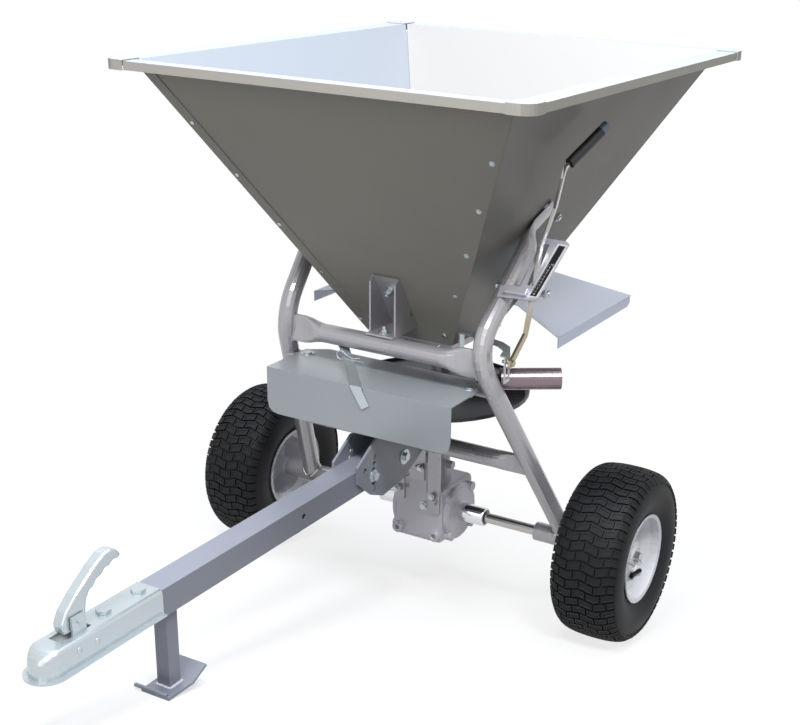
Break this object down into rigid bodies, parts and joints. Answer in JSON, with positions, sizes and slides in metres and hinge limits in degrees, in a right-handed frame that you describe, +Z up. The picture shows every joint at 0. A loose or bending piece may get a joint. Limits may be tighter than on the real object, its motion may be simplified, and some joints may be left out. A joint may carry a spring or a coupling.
{
  "type": "broadcast spreader",
  "caption": "Towed broadcast spreader: four-sided steel hopper over a spinner disc driven from the axle, tube frame, turf tyres, drawbar with ball coupler and shutter lever.",
  "frame": {"origin": "on the ground under the middle of the machine's outline, parked on its two tyres and its leg", "axes": "+X to the machine's right, +Y to its rear, drawbar towards -Y, +Z up"},
  "size_m": [1.137, 1.6834, 1.3828],
  "materials": {
    "frame_paint": "satin silver paint",
    "hopper_paint": "satin metallic grey paint",
    "guard_paint": "satin silver paint",
    "cast_paint": "painted casting",
    "zinc": "bright zinc plate",
    "steel": "bare and zinc-plated steel",
    "rubber": "matt black rubber",
    "disc_black": "black paint",
    "rim_white": "gloss white paint",
    "black_grip": "matt black grip sleeve"
  },
  "bodies": {
    "frame": {"adjuster_strap": "zinc", "axle_bush_left": "steel", "axle_bush_right": "steel", "axle_housing_left": "frame_paint", "axle_housing_right": "frame_paint", "coupler_body": "zinc", "coupler_bolt_front": "zinc", "coupler_bolt_rear": "zinc", "drawbar_lock_bolt": "zinc", "drawbar_pivot_bolt": "zinc", "drawbar_plate_left": "frame_paint", "drawbar_plate_right": "frame_paint", "drawbar_tube": "frame_paint", "front_cross_tube": "frame_paint", "front_guard": "guard_paint", "gate_plate": "frame_paint", "gearbox_case": "cast_paint", "gearbox_cover_left": "cast_paint", "gearbox_cover_right": "cast_paint", "gearbox_strap_centre": "frame_paint", "gearbox_strap_left": "frame_paint", "gearbox_strap_right": "frame_paint", "guard_bolt_left": "zinc", "guard_bolt_right": "zinc", "hopper_bracket": "frame_paint", "hopper_floor": "frame_paint", "hopper_front": "hopper_paint", "hopper_left": "hopper_paint", "hopper_rear": "hopper_paint", "hopper_right": "hopper_paint", "lever_bolt": "zinc", "lever_spring": "steel", "lower_cross_tube": "frame_paint", "parking_leg": "frame_paint", "rear_guard": "guard_paint", "rim_cap_front_left": "hopper_paint", "rim_cap_front_right": "hopper_paint", "rim_cap_rear_left": "hopper_paint", "rim_cap_rear_right": "hopper_paint", "side_post_left": "frame_paint", "side_post_right": "frame_paint", "side_stay_tube": "frame_paint"},
    "spinner": {"agitator": "steel", "spindle": "steel", "spinner_disc": "disc_black"},
    "drive_axle": {"axle_shaft": "steel", "tyre_right": "rubber", "wheel_rim_right": "rim_white"},
    "ball_clamp": {"ball_clamp": "zinc"},
    "coupler_handle": {"coupler_handle": "zinc"},
    "gate_stop": {"gate_stop": "frame_paint"},
    "lever": {"lever_grip": "black_grip", "shutter_lever": "steel"},
    "shutter": {"shutter_slide": "zinc"},
    "left_wheel": {"tyre_left": "rubber", "wheel_rim_left": "rim_white"}
  },
  "joints": [
    {"name": "axle_spin", "type": "hinge", "parent": "frame", "child": "drive_axle", "pos_m": [0, 0.46609, 0.2032], "axis": [1, 0, 0], "continuous": true},
    {"name": "left_wheel_spin", "type": "hinge", "parent": "frame", "child": "left_wheel", "pos_m": [-0.487, 0.46609, 0.2032], "axis": [1, 0, 0], "continuous": true},
    {"name": "spinner_spin", "type": "hinge", "parent": "frame", "child": "spinner", "pos_m": [0, 0.40242, 0.50128], "axis": [0, -0.2089, 0.9779], "continuous": true},
    {"name": "lever_swing", "type": "hinge", "parent": "frame", "child": "lever", "pos_m": [0.32004, 0.19294, 0.78784], "axis": [1, 0, 0], "range_deg": [0, 35]},
    {"name": "shutter_travel", "type": "slide", "parent": "frame", "child": "shutter", "axis": [0, 0.9779, 0.2089], "range_m": [0, 0.0931]},
    {"name": "gate_stop_travel", "type": "slide", "parent": "frame", "child": "gate_stop", "axis": [0, 0.5197, 0.8544], "range_m": [0, 0.016]},
    {"name": "coupler_handle_lift", "type": "hinge", "parent": "frame", "child": "coupler_handle", "pos_m": [0, -0.75759, 0.20647], "axis": [1, 0, 0], "range_deg": [0, 45], "stiffness_Nm_per_rad": 1, "springref_deg": -22.92},
    {"name": "ball_clamp_turn", "type": "hinge", "parent": "frame", "child": "ball_clamp", "pos_m": [0, -0.76308, 0.14599], "axis": [1, 0, 0], "range_deg": [0, 20]}
  ],
  "couplings": [
    {"joint": "spinner_spin", "follows": "axle_spin", "ratio": 5},
    {"joint": "shutter_travel", "follows": "lever_swing", "m_per_rad": 0.1521},
    {"joint": "ball_clamp_turn", "follows": "coupler_handle_lift", "ratio": 0.44}
  ]
}
